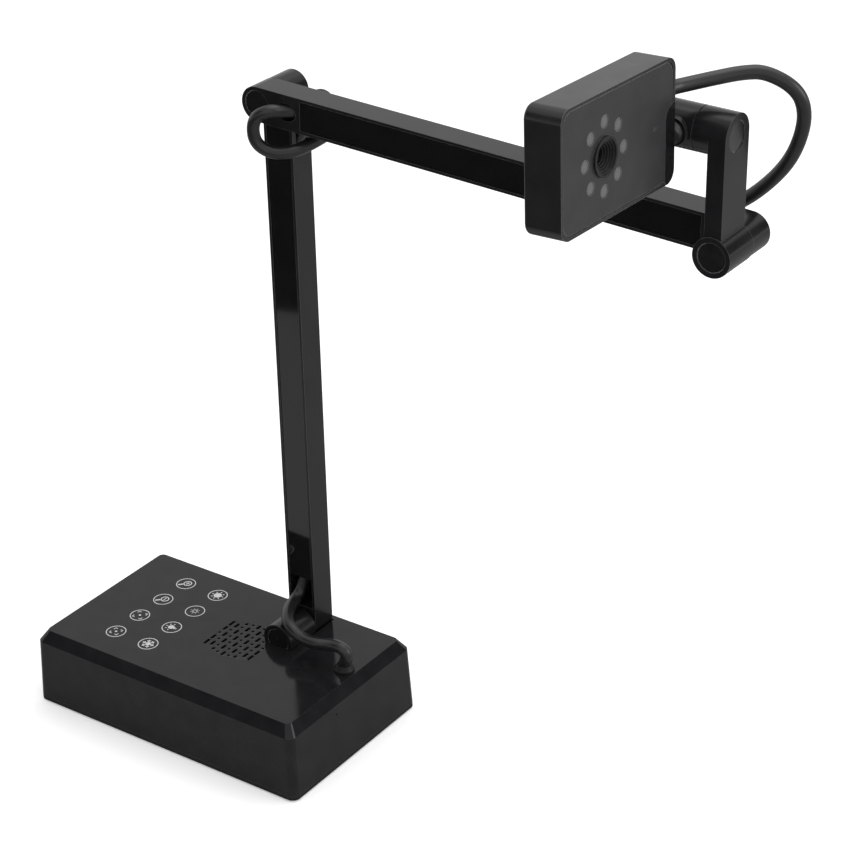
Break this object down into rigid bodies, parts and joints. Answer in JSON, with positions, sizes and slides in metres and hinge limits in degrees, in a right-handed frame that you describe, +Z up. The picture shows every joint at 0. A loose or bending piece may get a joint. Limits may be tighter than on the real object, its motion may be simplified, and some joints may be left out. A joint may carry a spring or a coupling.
{
  "type": "document camera",
  "caption": "Folding desk document camera: weighted base with touch keys, hinged mast, boom and forearm, tilting camera head with lamps around the lens.",
  "frame": {"origin": "middle of the base's underside, on the table", "axes": "+Z up; +X along the base's long side, the way the boom reaches and the lens looks; +Y to the back, towards the mast and the cable's arc"},
  "size_m": [0.4198, 0.16, 0.4392],
  "materials": {
    "base_plastic": "semi-gloss fine texture",
    "plate_steel": "black painted",
    "fastener": "zinc",
    "pad_rubber": "matte",
    "weight_iron": "cast",
    "board": "solder mask",
    "port_steel": "bright",
    "key_ink": "printed",
    "speaker_can": "matte",
    "boot_rubber": "matte",
    "arm_alloy": "black satin anodised",
    "cover_gloss": "gloss",
    "cap_paint": "satin",
    "washer_nylon": "matte",
    "ring_plastic": "matte",
    "head_plastic": "fine texture",
    "panel_plastic": "satin",
    "window_plastic": "frosted",
    "barrel_plastic": "matte",
    "lens_glass": "coated",
    "cable_rubber": "satin"
  },
  "bodies": {
    "base": {"base_shell": "base_plastic", "base_plate": "plate_steel", "base_screws": "fastener", "rubber_pad": "pad_rubber", "counterweight": "weight_iron", "main_board": "board", "usb_port": "port_steel", "touch_board": "board", "touch_icons": "key_ink", "speaker": "speaker_can", "cable_boot": "boot_rubber", "hinge_bracket": "arm_alloy", "bracket_screws": "fastener", "foot_bolt": "fastener", "foot_cap": "cap_paint", "foot_nut": "fastener", "foot_washer": "washer_nylon", "base_cable": "cable_rubber"},
    "mast": {"mast_channel": "arm_alloy", "mast_cover": "cover_gloss", "foot_rear_cap": "cap_paint", "elbow_rear_cap": "cap_paint", "elbow_cable": "cable_rubber"},
    "boom": {"boom_channel": "arm_alloy", "boom_cover": "cover_gloss", "elbow_bolt": "fastener", "elbow_cap": "cap_paint", "elbow_nut": "fastener", "elbow_washer": "washer_nylon", "wrist_rear_cap": "cap_paint", "head_cable_low": "cable_rubber"},
    "forearm": {"forearm": "arm_alloy", "wrist_bolt": "fastener", "wrist_cap": "cap_paint", "wrist_nut": "fastener", "wrist_washer": "washer_nylon", "neck_cap": "cap_paint", "head_cable_middle": "cable_rubber"},
    "knuckle": {"knuckle": "arm_alloy", "neck_bolt": "fastener", "neck_washer": "washer_nylon"},
    "head": {"tilt_shaft": "fastener", "tilt_ring": "ring_plastic", "head_housing": "head_plastic", "hinge_cover": "cover_gloss", "head_panel": "panel_plastic", "led_windows": "window_plastic", "led_board": "board", "lens_barrel": "barrel_plastic", "lens_glass": "lens_glass", "sensor_board": "board", "microphone": "fastener", "head_gland": "boot_rubber", "head_cable_high": "cable_rubber"}
  },
  "joints": [
    {"name": "foot", "type": "hinge", "parent": "base", "child": "mast", "pos_m": [0.0339, 0.02985, 0.0484], "axis": [0, 1, 0], "range_deg": [-35, 35], "deforming": ["base_cable"]},
    {"name": "elbow", "type": "hinge", "parent": "mast", "child": "boom", "pos_m": [0.03768, 0.02985, 0.35738], "axis": [0, 1, 0], "range_deg": [-50, 65], "deforming": ["elbow_cable"]},
    {"name": "wrist", "type": "hinge", "parent": "boom", "child": "forearm", "pos_m": [0.30488, 0.01435, 0.34478], "axis": [0, 1, 0], "range_deg": [-90, 75], "deforming": ["head_cable_low", "head_cable_middle"]},
    {"name": "neck", "type": "hinge", "parent": "forearm", "child": "knuckle", "pos_m": [0.30595, 0.00385, 0.39816], "axis": [0.9998, 0, -0.0201], "range_deg": [-75, 45], "deforming": ["head_cable_middle", "head_cable_high"]},
    {"name": "tilt", "type": "hinge", "parent": "knuckle", "child": "head", "pos_m": [0.28525, 0.00385, 0.39858], "axis": [-0.0006, 0.9995, -0.0323], "range_deg": [-30, 90], "deforming": ["head_cable_high"]}
  ]
}
